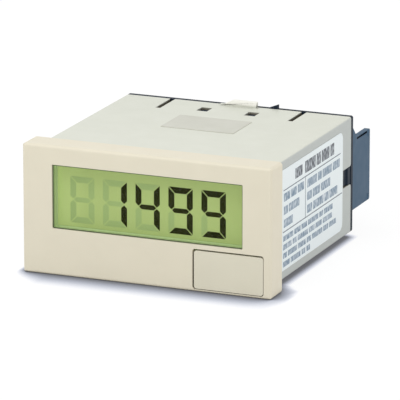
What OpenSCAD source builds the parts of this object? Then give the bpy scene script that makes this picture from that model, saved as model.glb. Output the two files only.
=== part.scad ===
// Panel-mounted digital tachometer with a five-digit liquid crystal display,
// powered by its own lithium cell. The origin is the centre of the front
// bezel's rear face, in the plane of the panel it is fixed to. +X is to the
// right seen from the front, +Y runs into the panel and +Z is up.

/* [Front bezel] */
// Width of the front
front_w = 48; // [47:0.5:52]
// Height of the front
front_h = 24; // [23.5:0.5:28]
// Depth of the bezel in front of the panel
bezel_t = 5.2; // [4.6:0.1:7]
// Thickness of the bezel's front wall
front_wall = 1.6; // [1.2:0.1:2]
// Rounding of the bezel's front edges
edge_r = 0.6; // [0.3:0.1:1.4]
// Radius of the bezel's four corners, seen from the front
corner_r = 0.7; // [0.5:0.1:2]

/* [Display window] */
// Width of the window opening
window_w = 36.7; // [34:0.1:38]
// Height of the window opening
window_h = 11.8; // [10:0.1:12]
// Height of the window's centre above the front's centre
window_z = 2.6; // [2:0.05:3.2]
// How far the window's centre lies to the right of the middle
window_x = 0.15; // [-0.5:0.05:0.5]
// How far the window lies behind the bezel's face
window_recess = 0.3; // [0.1:0.1:0.8]
// Thickness of the flange that is bonded behind the front wall
window_flange_t = 0.7; // [0.5:0.1:1]
// Width of that flange all round the opening
window_lap = 0.75; // [0.4:0.05:0.9]

/* [Key blank] */
// Width of the key opening
key_w = 13.6; // [9:0.1:14]
// Height of the key opening
key_h = 7.4; // [5:0.1:7.4]
// Distance of the key opening from the bezel's right side
key_from_side = 1.45; // [1.3:0.05:6]
// Distance of the key opening from the bezel's bottom
key_from_bottom = 0.5; // [0.5:0.05:1]
// Mean gap round the blank
key_gap = 0.2; // [0.1:0.05:0.3]
// Length of each retaining hook
hook_l = 3; // [2:0.1:4]
// Thickness of the retaining hooks
hook_t = 0.6; // [0.4:0.1:0.6]

/* [Case] */
// Width of the case
case_w = 44.8; // [44:0.1:46]
// Height of the case
case_h = 22; // [21:0.1:22.4]
// Depth of the case behind the panel
case_d = 38.4; // [37:0.2:44]
// Wall thickness of the case
case_wall = 1.2; // [0.9:0.1:1.4]
// Radius of the case's long edges
case_r = 0.4; // [0.3:0.1:1.6]
// How far the case reaches into the bezel
case_entry = 2.4; // [1.5:0.1:2.8]

/* [Latch tongue] */
// Distance of each slit from the middle
slit_x = 13.1; // [10:0.1:16]
// Width of the slits
slit_w = 0.9; // [0.6:0.1:1.4]
// Length of the slits from the case's rear edge
slit_l = 7.2; // [5:0.1:8]
// Distance of each catch hole from the middle
catch_x = 4.7; // [3:0.1:7]
// Width of the catch holes
catch_w = 2.1; // [1.6:0.1:3]
// Length of the catch holes
catch_l = 2.8; // [2:0.1:3.4]
// Distance of the catch holes' centre from the case's rear edge
catch_back = 5; // [4:0.1:6]
// Height of the release lip above the case
lip_h = 1.1; // [0.6:0.1:1.6]
// Width of the release lip
lip_w = 7.4; // [4:0.1:8]
// Where the release lip's left end is
lip_x = -3.4; // [-5:0.1:-1]
// Length of the ramp at the lip's left
lip_ramp = 1.9; // [1:0.1:3]
// Thickness of the release lip at its top
lip_t = 0.9; // [0.5:0.1:1.5]

/* [Side notches] */
// Length of the notches from the case's rear edge
notch_l = 4; // [3:0.1:5]
// Height of the notches
notch_h = 3.4; // [2.4:0.1:5]
// Rounding of the case's edge beside the notches
notch_r = 0.5; // [0.2:0.1:1]

/* [Labels] */
// Thickness of the labels
label_t = 0.08; // [0.05:0.01:0.2]
// Length of the side label
side_label_l = 33.8; // [20:0.1:34]
// Height of the side label
side_label_h = 18.6; // [10:0.1:19.5]
// Height of the side label's centre above the middle
side_label_z = 0; // [-0.5:0.05:0.5]
// Radius of the side label's rear corners
side_label_r = 1.5; // [0.5:0.1:3]
// Width of the top label
top_label_w = 14.2; // [8:0.1:20]
// Length of the top label
top_label_l = 9.2; // [5:0.1:11]
// Distance of the top label from the case's rear edge
top_label_back = 10.8; // [9:0.1:20]

/* [Display cell] */
// Thickness of each of the cell's glasses
glass_t = 0.7; // [0.5:0.05:1.1]
// Thickness of the liquid crystal layer with its segments
cell_t = 0.1; // [0.06:0.01:0.15]
// Thickness of the front polarizer
polarizer_t = 0.2; // [0.1:0.05:0.3]
// Thickness of the reflector behind the cell
reflector_t = 0.2; // [0.1:0.05:0.3]
// Gap between the window and the polarizer
window_gap = 0.1; // [0.05:0.05:0.3]
// How far the cell reaches past the window, above and below
cell_over = 0.2; // [0.1:0.05:0.3]
// Width of the frame's rim on each side of the cell
frame_rim = 1.2; // [1:0.05:1.6]
// Width of the seal round the liquid crystal
seal_w = 0.6; // [0.4:0.05:0.6]
// Width of the contact ledge along the front glass's lower edge
ledge_h = 1.8; // [1.4:0.1:2.4]

/* [Digits] */
// Distance from one digit to the next
digit_pitch = 6.35; // [5.5:0.05:6.6]
// Width of a digit
digit_w = 4.65; // [4:0.05:5]
// Height of a digit
digit_h = 8.6; // [7:0.1:9.4]
// Width of the strokes
stroke = 1.1; // [0.7:0.05:1.3]
// Width of the middle stroke
middle_stroke = 0.85; // [0.6:0.05:1.2]
// Gap between two strokes
stroke_gap = 0.2; // [0.1:0.05:0.3]
// How far the row of digits lies to the right of the middle
digits_x = -1.05; // [-1.8:0.05:1.8]
// Height of the digits' foot above the window's lower edge
digits_up = 0.55; // [0.45:0.05:1]

/* [Boards] */
// Thickness of the boards
board_t = 1; // [0.8:0.1:1.6]
// Height of the main board's top face
board_z = -1; // [-1.2:0.1:-0.8]
// How far the main board reaches into the rear frame
board_in = 6; // [3:0.1:7]
// Depth of the frame behind the display cell
frame_web = 2.1; // [1.6:0.1:3]

/* [Cell and contacts] */
// Diameter of the lithium cell
battery_d = 24.5; // [20:0.1:24.5]
// Thickness of the lithium cell
battery_t = 7.7; // [5:0.1:7.8]
// Thickness of the contact strips
contact_t = 0.4; // [0.3:0.05:0.5]

/* [Rear frame] */
// Thickness of the flange that closes the case
flange_t = 1; // [0.8:0.1:1.6]
// Depth to which the rear frame reaches into the case
spigot_l = 8.4; // [7:0.1:9]
// Wall of the rear frame
spigot_wall = 1.2; // [1:0.1:1.6]

/* [Terminal block] */
// Number of terminals
terminals = 4; // [4]
// Depth of the terminal block behind the flange
block_d = 9.1; // [8.6:0.1:12]
// Height of the terminal block above the middle
block_up = 6.45; // [5.5:0.05:7]
// Height of the terminal block below the middle
block_down = 7.1; // [6:0.1:8]
// Thickness of the block's base
block_base = 2; // [1.6:0.1:2.6]
// Thickness of the walls at both ends
end_wall = 1; // [0.8:0.1:2]
// Thickness of the walls between terminals
inner_wall = 1.3; // [1:0.1:1.8]
// Diameter of the terminal screws
screw_d = 3; // [2.5:0.5:3]
// Diameter of the screw heads
screw_head_d = 5.6; // [5:0.1:6]
// Height of the screw heads
screw_head_h = 2.2; // [1.8:0.1:2.6]
// Length of the screws' shanks
screw_l = 4.8; // [4:0.1:5]
// Thickness of the terminal plates and clamp washers
plate_t = 0.8; // [0.6:0.1:1]
// Side of the square clamp washers
washer_w = 7; // [6.2:0.1:7.4]

/* [Hidden] */
// Clearance between pieces that slide into one another
fit = 0.1;
// Small overlap that keeps cuts open and unions whole
eps = 0.05;

// Bezel and key opening
bezel_front = -bezel_t;
wall_back = bezel_front + front_wall;
seat_w = case_w + 2 * fit;
seat_h = case_h + 2 * fit;
key_right = front_w / 2 - key_from_side;
key_bottom = -front_h / 2 + key_from_bottom;
window_r = 0.2;
key_r = 0.5;
hook_reach = 0.6;

// Case
lip_slope = 0.4;
lip_foot = 0.15;
lip_step = 0.8;
case_front = -case_entry;
inner_w = case_w - 2 * case_wall;
inner_h = case_h - 2 * case_wall;
inner_r = 0.3;
catch_y = case_d - catch_back;

// Display stack, from the front to the back
window_back = wall_back + window_flange_t;
polarizer_y = window_back + window_gap;
front_glass_y = polarizer_y + polarizer_t;
segments_y = front_glass_y + glass_t;
rear_glass_y = segments_y + cell_t;
reflector_y = rear_glass_y + glass_t;
frame_pocket = reflector_y + reflector_t;
board_y = frame_pocket + frame_web;
window_bottom = window_z - window_h / 2;
cell_top = window_z + window_h / 2 + cell_over;
rear_glass_bottom = window_bottom - cell_over;
cell_bottom = rear_glass_bottom - ledge_h;
digits_z = window_bottom + digits_up + digit_h / 2;

// Display frame
frame_w = inner_w - 4 * fit;
frame_h = inner_h - 4 * fit;
frame_r = 0.4;
cell_w = frame_w - 2 * frame_rim;
strip_side = 1.8;
strip_w = cell_w - 2 * strip_side;
strip_h = 1.2;
strip_z = cell_bottom + ledge_h / 2;
peg_r = 0.7;
peg_in = 1.6;
peg_x = frame_w / 2 - peg_in;
peg_z = frame_h / 2 - peg_in;
peg_end = 0.5;
frame_open = 3;
frame_floor = 0.9;
polarizer_in = 0.4;

// Boards
main_y = board_y + board_t;
main_end = case_d - spigot_l + board_in;
spigot_w = inner_w - fit;
spigot_h = inner_h - fit;
groove = 0.6;
main_w = spigot_w - 2 * spigot_wall + 2 * groove - 2 * fit;
board_under = board_z - board_t;

// Header and controller, their places measured from the display board
header_pins = 12;
header_side = 2.5;
pin_pitch = 2.54;
pin_w = 0.64;
chip_y = 12.8;
chip_side = 12;
chip_t = 1.6;
chip_off = 0.1;
chip_leads = 11;
lead_pitch = 0.9;
lead_w = 0.35;
lead_l = 1.1;
lead_h = 0.7;

// Small parts
crystal_x = 9.5;
crystal_y = 6.8;
crystal_r = 1;
crystal_l = 6.2;
can_x = 15.5;
can_y = 8.8;
can_d = 6.3;
can_h = 7.7;
can_foot = 6.6;
can_foot_t = 1.2;
small_x = 9;
small_l = 2;
small_w = 1.25;
small_pitch = 3;
capacitors_y = 16.8;
capacitor_t = 0.9;
resistors_y = 21.8;
resistor_t = 0.5;

// Coupler
coupler_x = 14;
coupler_y = 24.3;
coupler_w = 4.6;
coupler_l = 6.4;
coupler_t = 3.2;
coupler_off = 0.4;
foot_w = 0.8;
foot_l = 1;

// Lithium cell
battery_x = -7;
battery_from_front = 2.4;
cap_in = 1.5;
cap_t = 0.5;
contact_w = 6;
contact_l = 18;
contact_gap = 0.6;
battery_y = main_y + battery_from_front + battery_d / 2;
battery_z = board_z + contact_t;

// Flange and terminal block
flange_y = case_d;
block_y = flange_y + flange_t;
base_y = block_y + block_base;
block_end = block_y + block_d;
block_in = 0.1;
block_w = case_w - 2 * block_in;
block_r = 0.4;
gusset_l = 2.3;
gusset_top = 0.2;
gusset_h = 2.2;
top_lip = 0.15;
top_groove = 0.4;
bead_r = 0.55;
bead_l = 1.1;
bead_out = 0.15;
bay_w = (block_w - 2 * end_wall - (terminals - 1) * inner_wall) / terminals;
bay_pitch = bay_w + inner_wall;
washer_cut = 0.6;
washer_r = 0.5;
slot_w = 0.8;
slot_l = 3.6;
slot_d = 1.1;
tail_x = 3;
tail_w = 2;
tail_l = 6.6;
rivet_r = 1.1;
rivet_z = -4.6;
lug_h = notch_h - 2 * fit;
lug_below = 0.05;
lug_rise = 0.3;
lug_full = 1.6;
catch_below = 0.45;
catch_flat = 0.6;
stop_gap = 1.8;
stop_l = 2;
stop_h = 0.75;
screw_r = screw_d / 2;
screw_seat = base_y + 2 * plate_t;

// Which number the display shows: -1 is a blank place
shown = [-1, 1, 4, 9, 9];
strokes_of = ["abcdef", "bc", "abged", "abgcd", "fgbc",
              "afgcd", "afgedc", "abc", "abcdefg", "abcdfg"];

// Where the terminals lie along X
function bay_x(i) = (i - (terminals - 1) / 2) * bay_pitch;

// Where their tails lie, each on its terminal's inner side
function tail_at(i) = bay_x(i) - sign(bay_x(i)) * tail_x;

// Where the digits lie along X, by their centres
function digit_x(i) = digits_x + (i - (len(shown) - 1) / 2) * digit_pitch;

// Whether place i shows the stroke named s
function is_lit(i, s) = shown[i] >= 0 && len(search(s, strokes_of[shown[i]])) > 0;

// A rectangle with round corners, centred on the origin
module rounded(w, h, r) {
    square([w - 2 * r, h], center = true);
    square([w, h - 2 * r], center = true);
    for (x = [-1, 1], y = [-1, 1])
        translate([x * (w / 2 - r), y * (h / 2 - r)]) circle(r = r, $fn = 32);
}

// An outline in the X-Z plane, drawn out along +Y from y = from to y = to
module along_y(from, to) {
    translate([0, to, 0]) rotate([90, 0, 0]) linear_extrude(to - from) children();
}

// An outline in the Y-Z plane, drawn out along +X
module along_x(from, to) {
    translate([from, 0, 0]) rotate([90, 0, 90]) linear_extrude(to - from) children();
}

// A box from one corner to the opposite one
module box(low, high) {
    translate(low) cube(high - low);
}

// A round bar along +Y
module rod_y(r, from, to, segments = 32) {
    translate([0, to, 0]) rotate([90, 0, 0]) cylinder(r = r, h = to - from, $fn = segments);
}

// The bezel's outside: three outlines cut through one another round its front edges
module bezel_outside() {
    reach = 2 * bezel_t;
    intersection() {
        along_y(bezel_front, 0) rounded(front_w, front_h, corner_r);
        along_x(-front_w, front_w)
            translate([bezel_front + reach, 0]) rounded(2 * reach, front_h, edge_r);
        translate([0, bezel_front + reach, -front_h])
            linear_extrude(2 * front_h) rounded(front_w, 2 * reach, edge_r);
    }
}

// The bezel: a tray with the window and key openings, open to the case behind
module front_bezel() {
    color("#e4dcc8") difference() {
        bezel_outside();
        along_y(wall_back, eps) rounded(seat_w, seat_h, case_r);
        translate([window_x, 0, window_z])
            along_y(bezel_front - eps, wall_back + eps) rounded(window_w, window_h, window_r);
        translate([key_right - key_w / 2, 0, key_bottom + key_h / 2]) {
            along_y(bezel_front - eps, wall_back) rounded(key_w, key_h, key_r);
            box([0, wall_back, -hook_l / 2 - fit],
                [key_w / 2 + hook_reach + fit, wall_back + hook_t + fit, hook_l / 2 + fit]);
        }
    }
}

// Clear window: it fills the opening and is bonded by its flange
module display_window() {
    color("#c9d8c0", 0.35) translate([window_x, 0, window_z]) union() {
        along_y(bezel_front + window_recess, wall_back + eps)
            rounded(window_w - 2 * fit, window_h - 2 * fit, window_r - fit / 2);
        along_y(wall_back, window_back)
            rounded(window_w + 2 * window_lap, window_h + 2 * window_lap, 2 * window_r);
    }
}

// Blank in the key opening, held by a hook behind the wall at each side. It sits low and to
// the right, so the gap is wider above it and at its left.
module key_blank() {
    sit = key_gap / 2;
    blank_w = key_w - 2 * key_gap;
    blank_h = key_h - 2 * key_gap;
    color("#ddd5c2") translate([key_right - key_w / 2 + sit, 0, key_bottom + key_h / 2 - sit]) union() {
        intersection() {
            along_y(bezel_front, wall_back) rounded(blank_w, blank_h, key_r);
            translate([0, 0, sit - key_bottom - key_h / 2]) along_x(-key_w, key_w)
                translate([bezel_front + bezel_t, 0]) rounded(2 * bezel_t, front_h, edge_r);
        }
        for (side = [-1, 1])
            translate([side * (blank_w / 2 + key_gap / 2) - sit, wall_back + hook_t / 2, sit])
                cube([2 * hook_reach, hook_t, hook_l], center = true);
    }
}

// Case: a square tube with a latch tongue, catch holes and side notches
module case_sleeve() {
    color("#dfe0d4") difference() {
        union() {
            along_y(case_front, case_d) rounded(case_w, case_h, case_r);
            release_lip();
        }
        along_y(case_front - eps, case_d + eps)
            rounded(inner_w, inner_h, inner_r);
        for (side = [-1, 1]) {
            translate([side * slit_x, case_d - slit_l / 2 + eps, case_h / 2 - case_wall / 2])
                cube([slit_w, slit_l + 2 * eps, case_wall + 4 * eps], center = true);
            translate([side * catch_x, catch_y, case_h / 2 - case_wall / 2])
                cube([catch_w, catch_l, case_wall + 4 * eps], center = true);
            along_x(side * (case_w / 2 - case_wall / 2) - case_wall / 2 - 2 * eps,
                    side * (case_w / 2 - case_wall / 2) + case_wall / 2 + 2 * eps) notch_outline();
        }
    }
}

// A side notch seen from the side: it flares out in a curve at the rear edge
module notch_outline() {
    translate([case_d - notch_l, -notch_h / 2]) square([notch_l + 2 * eps, notch_h]);
    difference() {
        translate([case_d - notch_r, -notch_h / 2 - notch_r])
            square([notch_r + 2 * eps, notch_h + 2 * notch_r]);
        for (side = [-1, 1])
            translate([case_d - notch_r, side * (notch_h / 2 + notch_r)]) circle(r = notch_r, $fn = 32);
    }
}

// The lip on the tongue's rear edge: a low foot, a ramp and the full lip
module release_lip() {
    top = case_h / 2;
    full = lip_x + lip_step + lip_ramp;
    intersection() {
        along_x(lip_x, lip_x + lip_w)
            polygon([[case_d - lip_t - lip_slope, top - eps], [case_d - lip_t, top + lip_h],
                     [case_d, top + lip_h], [case_d, top - eps]]);
        along_y(case_d - 2 * lip_t, case_d + eps)
            polygon([[lip_x, top - 2 * eps], [lip_x, top + lip_foot],
                     [lip_x + lip_step, top + lip_foot], [full, top + lip_h],
                     [lip_x + lip_w, top + lip_h], [lip_x + lip_w, top - 2 * eps]]);
    }
}

// Plain label on the case's top
module top_label() {
    color("#d4d5cd") translate([-top_label_w / 2, case_d - top_label_back - top_label_l, case_h / 2])
        cube([top_label_w, top_label_l, label_t]);
}

// Label on the case's right side, from the bezel back
module side_label() {
    r = side_label_r;
    color("#e8f0f4") translate([case_w / 2, fit, side_label_z])
        along_x(0, label_t) union() {
            translate([0, -side_label_h / 2]) square([side_label_l - r, side_label_h]);
            translate([side_label_l - r - eps, -side_label_h / 2 + r])
                square([r + eps, side_label_h - 2 * r]);
            for (side = [-1, 1])
                translate([side_label_l - r, side * (side_label_h / 2 - r)])
                    circle(r = r, $fn = 32);
        }
}

// One flat plate of the display stack, between two heights
module stack_plate(w, low, high, y, t) {
    box([-w / 2, y, low], [w / 2, y + t, high]);
}

module lcd_polarizer() {
    color("#a9bd78", 0.5) stack_plate(cell_w - 2 * polarizer_in, rear_glass_bottom + polarizer_in / 2,
                                      cell_top - polarizer_in / 2, polarizer_y, polarizer_t);
}

module lcd_front_glass() {
    color("#b4cc88", 0.5) stack_plate(cell_w, cell_bottom, cell_top, front_glass_y, glass_t);
}

module lcd_rear_glass() {
    color("#b4cc88", 0.5) stack_plate(cell_w, rear_glass_bottom, cell_top, rear_glass_y, glass_t);
}

module lcd_reflector() {
    color("#a6bb76") stack_plate(cell_w - polarizer_in, rear_glass_bottom + polarizer_in / 4,
                                 cell_top - polarizer_in / 4, reflector_y, reflector_t);
}

// The seal that joins both glasses round the liquid crystal
module lcd_seal() {
    color("#90a468") difference() {
        stack_plate(cell_w, rear_glass_bottom, cell_top, segments_y, cell_t);
        stack_plate(cell_w - 2 * seal_w, rear_glass_bottom + seal_w, cell_top - seal_w,
                    segments_y - eps, cell_t + 2 * eps);
    }
}

// The upper bar of a digit, mitred at both ends
module bar_top() {
    g = stroke_gap * sqrt(0.5);
    polygon([[g, digit_h], [digit_w - g, digit_h],
             [digit_w - stroke - g, digit_h - stroke], [stroke + g, digit_h - stroke]]);
}

// The middle bar, pointed at both ends
module bar_middle() {
    g = stroke_gap * sqrt(0.5);
    tip = stroke / 2 + g;
    half = middle_stroke / 2;
    mid = digit_h / 2;
    polygon([[tip, mid], [tip + half, mid + half], [digit_w - tip - half, mid + half],
             [digit_w - tip, mid], [digit_w - tip - half, mid - half], [tip + half, mid - half]]);
}

// The upper left bar, mitred above and pointed below
module bar_side() {
    g = stroke_gap * sqrt(0.5);
    foot = digit_h / 2 + g;
    polygon([[0, digit_h - g], [stroke, digit_h - stroke - g], [stroke, foot + stroke / 2],
             [stroke / 2, foot], [0, foot + stroke / 2]]);
}

// A bar as it is, or turned over to the right, to the bottom or both
module turned(right, down) {
    translate([right ? digit_w : 0, down ? digit_h : 0])
        mirror([right ? 1 : 0, 0]) mirror([0, down ? 1 : 0]) children();
}

// One stroke of a digit by its usual letter
module bar(name) {
    if (name == "a") bar_top();
    if (name == "b") turned(true, false) bar_side();
    if (name == "c") turned(true, true) bar_side();
    if (name == "d") turned(false, true) bar_top();
    if (name == "e") turned(false, true) bar_side();
    if (name == "f") bar_side();
    if (name == "g") bar_middle();
}

// All strokes of the display that are lit, or all that aren't
module strokes(lit) {
    for (i = [0 : len(shown) - 1], name = "abcdefg")
        if (is_lit(i, name) == lit)
            translate([digit_x(i) - digit_w / 2, 0, digits_z - digit_h / 2])
                along_y(segments_y, segments_y + cell_t) bar(name);
}

module segments_lit() {
    color("#34341f") strokes(true);
}

module segments_idle() {
    color("#96aa6c") strokes(false);
}

// Frame that holds the display cell against the bezel and carries its board
module lcd_frame() {
    rim = frame_rim - fit;
    color("#e8e6dc") difference() {
        union() {
            along_y(window_back, board_y) rounded(frame_w, frame_h, frame_r);
            for (side = [-1, 1])
                translate([side * (frame_w - rim) / 2 - rim / 2, wall_back, 0])
                    cube([rim, window_flange_t + eps, frame_h / 3]);
            for (x = [-1, 1], z = [-1, 1])
                translate([x * peg_x, 0, z * peg_z]) rod_y(peg_r, board_y - eps, main_y + peg_end);
        }
        box([-cell_w / 2 - fit, window_back - eps, cell_bottom - fit],
            [cell_w / 2 + fit, segments_y, cell_top + fit]);
        box([-cell_w / 2 - fit, segments_y - eps, rear_glass_bottom - fit],
            [cell_w / 2 + fit, frame_pocket, cell_top + fit]);
        box([-strip_w / 2 - fit, segments_y - eps, strip_z - strip_h / 2 - fit / 2],
            [strip_w / 2 + fit, board_y + eps, strip_z + strip_h / 2 + fit / 2]);
        box([-cell_w / 2 + frame_open, frame_pocket + frame_floor, rear_glass_bottom + frame_open / 2],
            [cell_w / 2 - frame_open, board_y + eps, cell_top - frame_open / 2]);
    }
}

// Conductive rubber strip from the glass's ledge to the display board
module contact_strip() {
    color("#5a5a5e") box([-strip_w / 2, segments_y, strip_z - strip_h / 2],
                         [strip_w / 2, board_y, strip_z + strip_h / 2]);
}

// Board behind the display, set on the frame's four pegs
module display_board() {
    color("#2f6b46") difference() {
        along_y(board_y, main_y) rounded(frame_w, frame_h, frame_r);
        for (x = [-1, 1], z = [-1, 1])
            translate([x * peg_x, 0, z * peg_z])
                rod_y(peg_r + fit / 2, board_y - eps, main_y + eps);
    }
}

// Board that lies between the display board and the rear frame
module main_board() {
    color("#2f6b46") box([-main_w / 2, main_y, board_under], [main_w / 2, main_end, board_z]);
}

// Header that joins both boards: a body with a row of pins
module board_header() {
    color("#26282b") union() {
        box([-header_pins * pin_pitch / 2, main_y, board_under - header_side],
            [header_pins * pin_pitch / 2, main_y + header_side, board_under]);
        for (i = [0 : header_pins - 1])
            translate([(i - (header_pins - 1) / 2) * pin_pitch, main_y + header_side / 2,
                       board_under - header_side - pin_w + eps])
                cube([pin_w, pin_w, 2 * pin_w], center = true);
    }
}

// Controller: a flat square package with leads on four sides
module controller_chip() {
    color("#222426") translate([0, main_y + chip_y, board_under]) union() {
        box([-chip_side / 2, -chip_side / 2, -chip_off - chip_t],
            [chip_side / 2, chip_side / 2, -chip_off]);
        for (turn = [0 : 3], i = [0 : chip_leads - 1])
            rotate([0, 0, 90 * turn])
                translate([(i - (chip_leads - 1) / 2) * lead_pitch - lead_w / 2,
                           chip_side / 2 - eps, -lead_h])
                    cube([lead_w, lead_l, lead_h]);
    }
}

// Watch crystal, a small can lying on the board
module crystal_can() {
    color("#c4c8cc") translate([crystal_x, main_y + crystal_y, board_z + crystal_r])
        rod_y(crystal_r, 0, crystal_l, 24);
}

// Smoothing capacitor, a can on its square foot
module smoothing_capacitor() {
    color("#b9bdc2") translate([can_x, main_y + can_y, board_z]) union() {
        box([-can_foot / 2, -can_foot / 2, 0], [can_foot / 2, can_foot / 2, can_foot_t]);
        cylinder(d = can_d, h = can_h, $fn = 48);
    }
}

// Small ceramic capacitors in a row
module chip_capacitors() {
    color("#b08a5c") for (i = [0 : 3])
        translate([small_x + small_pitch * i, main_y + capacitors_y, board_z])
            cube([small_l, small_w, capacitor_t]);
}

// Small resistors in two rows under the board
module chip_resistors() {
    color("#303236") for (i = [0 : 3], row = [0, 1])
        translate([small_x + small_pitch * i, main_y + resistors_y + small_pitch * row,
                   board_under - resistor_t])
            cube([small_l, small_w, resistor_t]);
}

// Coupler that passes the input pulses on
module input_coupler() {
    color("#2a2c30") translate([coupler_x, main_y + coupler_y, board_z]) union() {
        box([-coupler_w / 2, -coupler_l / 2, coupler_off],
            [coupler_w / 2, coupler_l / 2, coupler_off + coupler_t]);
        for (x = [-1, 1], side = [-1, 1])
            translate([x * pin_pitch / 2 - foot_w / 2, side * coupler_l / 2 - foot_l / 2, 0])
                cube([foot_w, foot_l, coupler_off + eps]);
    }
}

// Lithium cell: the can, and the smaller cap of its negative side below
module battery_cell() {
    color("#c9ccce") translate([battery_x, battery_y, battery_z]) union() {
        cylinder(d = battery_d - 2 * cap_in, h = cap_t + eps, $fn = 64);
        translate([0, 0, cap_t]) cylinder(d = battery_d, h = battery_t - cap_t, $fn = 64);
    }
}

// Strip under the cell
module battery_negative_contact() {
    color("#c8b46c") translate([battery_x, battery_y, board_z])
        box([-contact_w / 2, -contact_l / 2, 0], [contact_w / 2, contact_l / 2, contact_t]);
}

// Strip over the cell, with a leg down to the board
module battery_positive_contact() {
    half = contact_w / 2;
    reach = battery_d / 2 + contact_gap;
    top = battery_z + battery_t;
    color("#c8b46c") translate([battery_x, battery_y, 0]) union() {
        box([-contact_w, -half, top], [reach + contact_t, half, top + contact_t]);
        box([reach, -half, board_z], [reach + contact_t, half, top + eps]);
    }
}

// Rear frame: it closes the case, slides in on its spigot and snaps into the holes
module rear_frame() {
    color("#46566a") difference() {
        union() {
            along_y(flange_y, block_y) rounded(case_w, case_h, case_r);
            along_y(case_d - spigot_l, flange_y + eps) rounded(spigot_w, spigot_h, frame_r);
            for (side = [-1, 1]) {
                catch_nub(side);
                side_lug(side);
            }
            release_stop();
        }
        along_y(case_d - spigot_l - eps, flange_y)
            rounded(spigot_w - 2 * spigot_wall, spigot_h - 2 * spigot_wall, frame_r);
        box([-main_w / 2 - fit, case_d - spigot_l - eps, board_under - fit / 2],
            [main_w / 2 + fit, main_end + fit, board_z + fit / 2]);
        for (i = [0 : terminals - 1]) {
            translate([bay_x(i), 0, 0]) rod_y(screw_r + 2 * fit, flange_y - eps, block_y + eps);
            tail_slot(i, flange_y - eps, block_y + eps);
        }
        for (side = [-1, 1])
            translate([side * bay_pitch, 0, rivet_z])
                rod_y(rivet_r + fit / 2, flange_y - eps, block_y + eps);
    }
}

// A catch that fills one hole of the latch tongue, with a ramp towards the front
module catch_nub(side) {
    low = spigot_h / 2 - eps;
    high = case_h / 2 - catch_below;
    half = catch_l / 2 - 2 * fit;
    translate([side * catch_x, catch_y, 0])
        along_x(-catch_w / 2 + fit, catch_w / 2 - fit)
            polygon([[-half, low], [half - catch_flat, high], [half, high], [half, low]]);
}

// A lug that fills one side notch: it rises towards the rear and is bevelled there
module side_lug(side) {
    out = case_w / 2 - lug_below;
    in = spigot_w / 2 - eps;
    front = case_d - notch_l + 2 * fit;
    rear = case_d + eps;
    mirror([side < 0 ? 1 : 0, 0, 0]) translate([0, 0, -lug_h / 2]) linear_extrude(lug_h)
        polygon([[in, front], [out - lug_rise, front], [out - lug_rise, rear - lug_full - lug_rise],
                 [out, rear - lug_full], [out, rear - lug_rise], [out - lug_rise, rear], [in, rear]]);
}

// The stop beside the release lip, on the flange's upper edge: it rises to the right
module release_stop() {
    from = lip_x + lip_w + stop_gap;
    top = case_h / 2;
    along_y(flange_y + fit, block_y)
        polygon([[from, top - eps], [from + stop_l, top + stop_h], [from + stop_l, top - eps]]);
}

// The opening for the tail of terminal i
module tail_slot(i, from, to) {
    box([tail_at(i) - tail_w / 2 - fit, from, board_z - fit / 2],
        [tail_at(i) + tail_w / 2 + fit, to, board_z + plate_t + fit]);
}

// One end wall of the terminal block, seen from the side: a gusset with a flat top at its root,
// round at the rear
module end_outline() {
    polygon([[block_y, block_up + gusset_h], [block_y + gusset_top, block_up + gusset_h],
             [block_y + gusset_l, block_up],
             [block_end - block_r, block_up], [block_end - block_r, -block_down],
             [block_y, -block_down]]);
    translate([block_y, -block_down + block_r]) square([block_d, block_up + block_down - 2 * block_r]);
    for (z = [block_up - block_r, -block_down + block_r])
        translate([block_end - block_r, z]) circle(r = block_r, $fn = 32);
}

// An end wall with a groove under its top edge and a bead at both rear corners
module end_wall_at(side) {
    bead_y = block_end - block_r - bead_r;
    mirror([side < 0 ? 1 : 0, 0, 0]) {
        difference() {
            along_x(block_w / 2 - end_wall, block_w / 2) end_outline();
            box([block_w / 2 - top_groove, block_y + gusset_l, block_up - top_lip - top_groove],
                [block_w / 2 + eps, bead_y - bead_r, block_up - top_lip]);
        }
        for (low = [-block_down + top_lip, block_up - top_lip - bead_l])
            intersection() {
                translate([block_w / 2 + bead_out - bead_r, bead_y, low])
                    cylinder(r = bead_r, h = bead_l, $fn = 32);
                box([block_w / 2 - eps, block_y, low], [block_w / 2 + bead_r, block_end, low + bead_l]);
            }
    }
}

// Terminal block: a base with walls between the terminals
module terminal_block() {
    color("#55697f") difference() {
        union() {
            box([-block_w / 2, block_y, -block_down], [block_w / 2, base_y, block_up]);
            for (side = [-1, 1]) end_wall_at(side);
            for (i = [0 : terminals - 2])
                translate([bay_x(i) + bay_pitch / 2 - inner_wall / 2, block_y, -block_down])
                    cube([inner_wall, block_d, block_down + block_up]);
            for (side = [-1, 1])
                translate([side * bay_pitch, 0, rivet_z])
                    rod_y(rivet_r, flange_y + fit, block_y + eps);
        }
        for (i = [0 : terminals - 1]) {
            translate([bay_x(i), 0, 0]) rod_y(screw_r + fit, block_y - eps, base_y + eps);
            tail_slot(i, block_y - eps, base_y + eps);
        }
    }
}

// Terminal plates: each with its screw hole and a tail to the main board
module terminal_plates() {
    color("#c9c3ae") for (i = [0 : terminals - 1]) difference() {
        union() {
            translate([bay_x(i), 0, 0])
                along_y(base_y, base_y + plate_t) square([bay_w - 4 * fit, washer_w], center = true);
            box([tail_at(i) - tail_w / 2, base_y - tail_l, board_z],
                [tail_at(i) + tail_w / 2, base_y + eps, board_z + plate_t]);
        }
        translate([bay_x(i), 0, 0]) rod_y(screw_r + fit / 2, base_y - eps, base_y + plate_t + eps);
    }
}

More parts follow.
